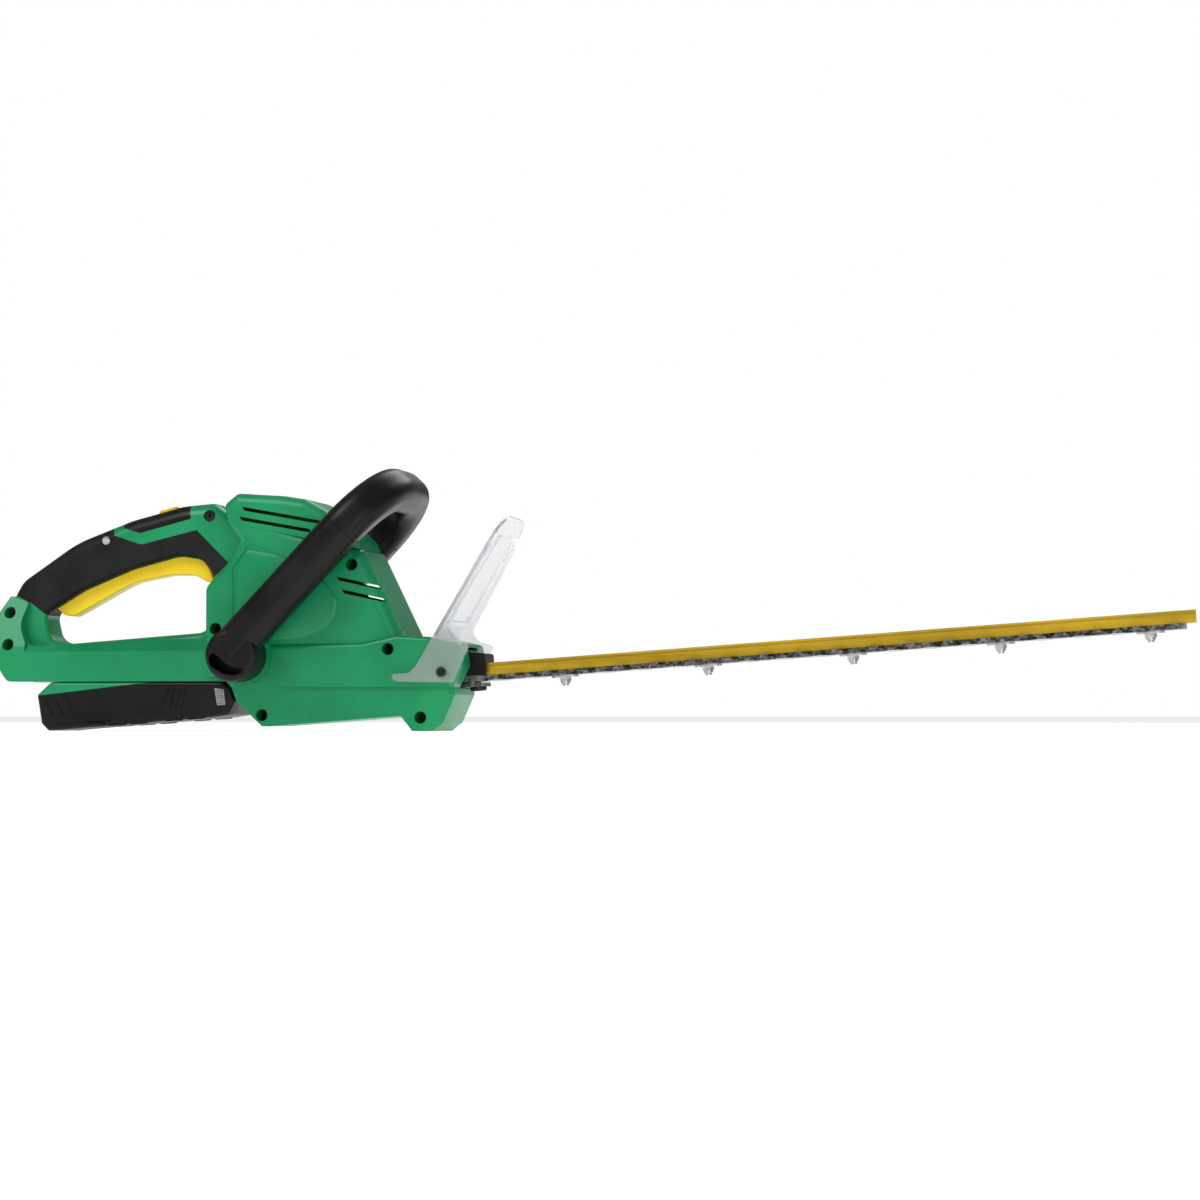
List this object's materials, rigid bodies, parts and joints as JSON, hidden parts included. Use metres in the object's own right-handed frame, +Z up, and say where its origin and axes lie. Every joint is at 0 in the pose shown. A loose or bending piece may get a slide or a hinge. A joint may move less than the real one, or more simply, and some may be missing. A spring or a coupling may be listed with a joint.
{
  "type": "hedge trimmer",
  "caption": "Cordless hedge trimmer with D-handle, front bail, clear hand shield, sliding battery pack and a double-sided reciprocating blade on a yellow rail.",
  "frame": {"origin": "middle of the flat sole of the body's front foot, on the surface the tool rests on", "axes": "+X towards the blade's tip, +Y to the user's left, +Z up"},
  "size_m": [0.9298, 0.154, 0.203],
  "materials": {
    "green_shell": "satin moulded plastic",
    "black_shell": "satin moulded plastic",
    "soft_grip": "soft-touch grip",
    "yellow_plastic": "satin moulded plastic",
    "clear_plastic": "clear moulded plastic",
    "gold_rail": "yellow coated extrusion",
    "blade_steel": "ground spring steel",
    "zinc_steel": "zinc plated",
    "black_steel": "black oxide",
    "cast_case": "die cast",
    "copper_brass": "contact metal",
    "grey_plastic": "matte",
    "red_insulation": "lead insulation",
    "dark_insulation": "lead insulation"
  },
  "bodies": {
    "body": {"bail_bolts": "zinc_steel", "bail_front": "black_shell", "bail_nuts": "zinc_steel", "bail_rear": "black_shell", "base_plate": "blade_steel", "blade_bolts": "zinc_steel", "blade_nuts": "zinc_steel", "blade_washers": "zinc_steel", "case_screws": "zinc_steel", "front_block": "black_shell", "gear_case": "cast_case", "gear_pin": "zinc_steel", "grip_left": "soft_grip", "grip_right": "soft_grip", "grip_screw": "zinc_steel", "housing_left": "green_shell", "housing_right": "green_shell", "housing_screws": "black_steel", "lead_black": "dark_insulation", "lead_motor": "dark_insulation", "lead_red": "red_insulation", "lock_spring": "zinc_steel", "microswitch": "grey_plastic", "motor_bushes": "copper_brass", "motor_can": "zinc_steel", "motor_cap": "green_shell", "motor_end_cap": "grey_plastic", "motor_magnets": "black_steel", "rail": "gold_rail", "root_screw": "black_steel", "shield": "clear_plastic", "shield_screws": "black_steel", "switch_panel": "black_shell", "terminal_blades": "copper_brass", "terminal_block": "black_shell", "trigger_pin": "zinc_steel", "trigger_spring": "zinc_steel"},
    "gear": {"drive_gear": "zinc_steel"},
    "rotor": {"armature": "zinc_steel", "motor_shaft": "zinc_steel", "pinion": "zinc_steel", "fan": "grey_plastic"},
    "upper_blade": {"upper_blade": "blade_steel"},
    "lower_blade": {"lower_blade": "blade_steel"},
    "trigger": {"trigger": "yellow_plastic"},
    "plunger": {"switch_plunger": "grey_plastic"},
    "lock_button": {"lock_button": "yellow_plastic"},
    "battery": {"battery_case": "black_shell", "battery_top_case": "green_shell", "battery_contacts": "copper_brass", "battery_cells": "zinc_steel", "battery_board": "grey_plastic"},
    "latch_right": {"latch_right": "grey_plastic"},
    "latch_left": {"latch_left": "grey_plastic"}
  },
  "joints": [
    {"name": "gear_spin", "type": "hinge", "parent": "body", "child": "gear", "pos_m": [-0.06982, 0, 0.03266], "axis": [-0.0706, 0, 0.9975], "continuous": true},
    {"name": "rotor_spin", "type": "hinge", "parent": "body", "child": "rotor", "pos_m": [-0.10474, 0, 0.03018], "axis": [-0.0706, 0, 0.9975], "continuous": true},
    {"name": "upper_blade_slide", "type": "slide", "parent": "body", "child": "upper_blade", "axis": [0.9975, 0, 0.0706], "range_m": [-0.0065, 0.0065]},
    {"name": "lower_blade_slide", "type": "slide", "parent": "body", "child": "lower_blade", "axis": [0.9975, 0, 0.0706], "range_m": [-0.0065, 0.0065]},
    {"name": "trigger_squeeze", "type": "hinge", "parent": "body", "child": "trigger", "pos_m": [-0.306, 0, 0.104], "axis": [0, -1, 0], "range_deg": [0, 3.8], "stiffness_Nm_per_rad": 3, "springref_deg": -6.88, "deforming": ["trigger_spring"]},
    {"name": "plunger_press", "type": "slide", "parent": "body", "child": "plunger", "axis": [0, 0, 1], "range_m": [0, 0.0037]},
    {"name": "lock_press", "type": "slide", "parent": "body", "child": "lock_button", "axis": [0.2504, 0, -0.9681], "range_m": [0, 0.003], "stiffness_N_per_m": 300, "springref_m": -0.003, "deforming": ["lock_spring"]},
    {"name": "battery_slide", "type": "slide", "parent": "body", "child": "battery", "axis": [-1, 0, 0], "range_m": [0, 0.15]},
    {"name": "latch_right_press", "type": "slide", "parent": "battery", "child": "latch_right", "axis": [0, 1, 0], "range_m": [0, 0.0025], "stiffness_N_per_m": 400, "springref_m": -0.002},
    {"name": "latch_left_press", "type": "slide", "parent": "battery", "child": "latch_left", "axis": [0, -1, 0], "range_m": [0, 0.0025], "stiffness_N_per_m": 400, "springref_m": -0.002}
  ],
  "couplings": [
    {"joint": "rotor_spin", "follows": "gear_spin", "ratio": -6},
    {"joint": "lower_blade_slide", "follows": "upper_blade_slide", "ratio": -1},
    {"joint": "plunger_press", "follows": "trigger_squeeze", "m_per_rad": 0.055}
  ]
}
